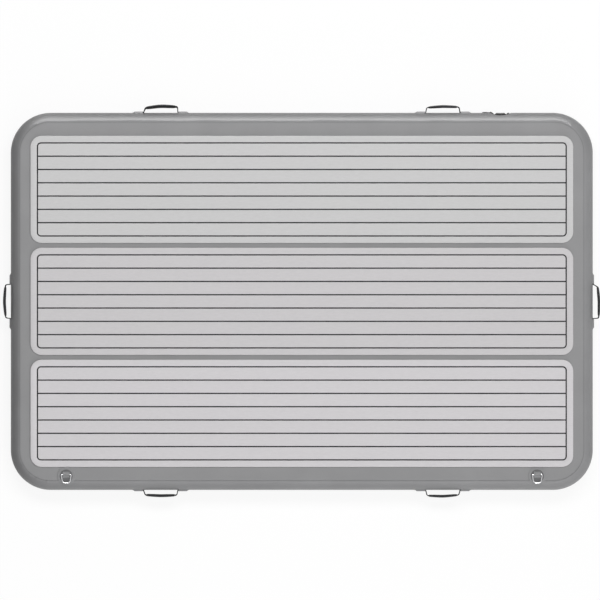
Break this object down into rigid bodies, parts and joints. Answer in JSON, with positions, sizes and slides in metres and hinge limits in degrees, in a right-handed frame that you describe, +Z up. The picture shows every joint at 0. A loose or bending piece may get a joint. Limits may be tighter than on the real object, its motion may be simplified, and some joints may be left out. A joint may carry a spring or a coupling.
{
  "type": "inflatable floating dock",
  "caption": "Rectangular inflatable dock with a bulging side wall, grooved foam deck pads, padded carry handles, steel D-rings near the front corners and a recessed inflation valve.",
  "frame": {"origin": "middle of the dock's footprint, on its underside", "axes": "+X along the dock, to the right when the edge with the D-rings is nearest; +Y toward the back edge, which has the valve; +Z up, out of the deck"},
  "size_m": [2.564, 1.684, 0.1599],
  "materials": {
    "pvc_chamber": "satin PVC coating over woven fabric",
    "pvc_tape": "satin PVC tape",
    "pvc_patch": "satin PVC patch",
    "foam_dark": "plain closed-cell foam",
    "foam_light": "brushed closed-cell foam",
    "webbing": "woven polyester webbing",
    "grip": "fabric over foam padding",
    "steel": "polished stainless steel",
    "spring_steel": "drawn stainless wire",
    "valve_plastic": "moulded plastic",
    "cap_plastic": "moulded plastic",
    "valve_rubber": "moulded rubber",
    "leash": "moulded flexible plastic"
  },
  "bodies": {
    "dock": {"air_chamber": "pvc_chamber", "side_wall_tape": "pvc_tape", "back_pad_backing": "foam_dark", "back_pad_border": "foam_light", "back_pad_planks": "foam_light", "middle_pad_backing": "foam_dark", "middle_pad_border": "foam_light", "middle_pad_planks": "foam_light", "front_pad_backing": "foam_dark", "front_pad_border": "foam_light", "front_pad_planks": "foam_light", "back_left_handle_strap": "webbing", "back_left_handle_grip": "grip", "back_left_handle_patches": "pvc_patch", "back_right_handle_strap": "webbing", "back_right_handle_grip": "grip", "back_right_handle_patches": "pvc_patch", "front_left_handle_strap": "webbing", "front_left_handle_grip": "grip", "front_left_handle_patches": "pvc_patch", "front_right_handle_strap": "webbing", "front_right_handle_grip": "grip", "front_right_handle_patches": "pvc_patch", "left_handle_strap": "webbing", "left_handle_grip": "grip", "left_handle_patches": "pvc_patch", "right_handle_strap": "webbing", "right_handle_grip": "grip", "right_handle_patches": "pvc_patch", "left_d_ring_base_patch": "pvc_patch", "left_d_ring_sleeve_patch": "pvc_patch", "right_d_ring_base_patch": "pvc_patch", "right_d_ring_sleeve_patch": "pvc_patch", "valve_body": "valve_plastic", "valve_nut": "valve_plastic", "valve_gasket": "valve_rubber", "valve_spring": "spring_steel", "valve_cap_leash": "leash"},
    "left_ring": {"left_d_ring": "steel"},
    "right_ring": {"right_d_ring": "steel"},
    "valve_poppet": {"valve_stem": "valve_plastic", "valve_diaphragm": "valve_rubber"},
    "cap_seal": {"valve_cap_seal": "valve_rubber"},
    "cap": {"valve_cap": "cap_plastic"}
  },
  "joints": [
    {"name": "left_ring_swing", "type": "hinge", "parent": "dock", "child": "left_ring", "pos_m": [-1.01, -0.743, 0.1559], "axis": [-1, 0, 0], "range_deg": [0, 172]},
    {"name": "right_ring_swing", "type": "hinge", "parent": "dock", "child": "right_ring", "pos_m": [1.01, -0.743, 0.1559], "axis": [-1, 0, 0], "range_deg": [0, 172]},
    {"name": "stem_push", "type": "slide", "parent": "dock", "child": "valve_poppet", "axis": [0, -1, 0], "range_m": [0, 0.006], "stiffness_N_per_m": 400, "springref_m": -0.003, "deforming": ["valve_spring"]},
    {"name": "cap_lift", "type": "slide", "parent": "dock", "child": "cap_seal", "axis": [0, 1, 0], "range_m": [0, 0.03], "deforming": ["valve_cap_leash"]},
    {"name": "cap_turn", "type": "hinge", "parent": "cap_seal", "child": "cap", "pos_m": [0.853, 0.8, 0.075], "axis": [0, -1, 0], "range_deg": [0, 90]}
  ]
}
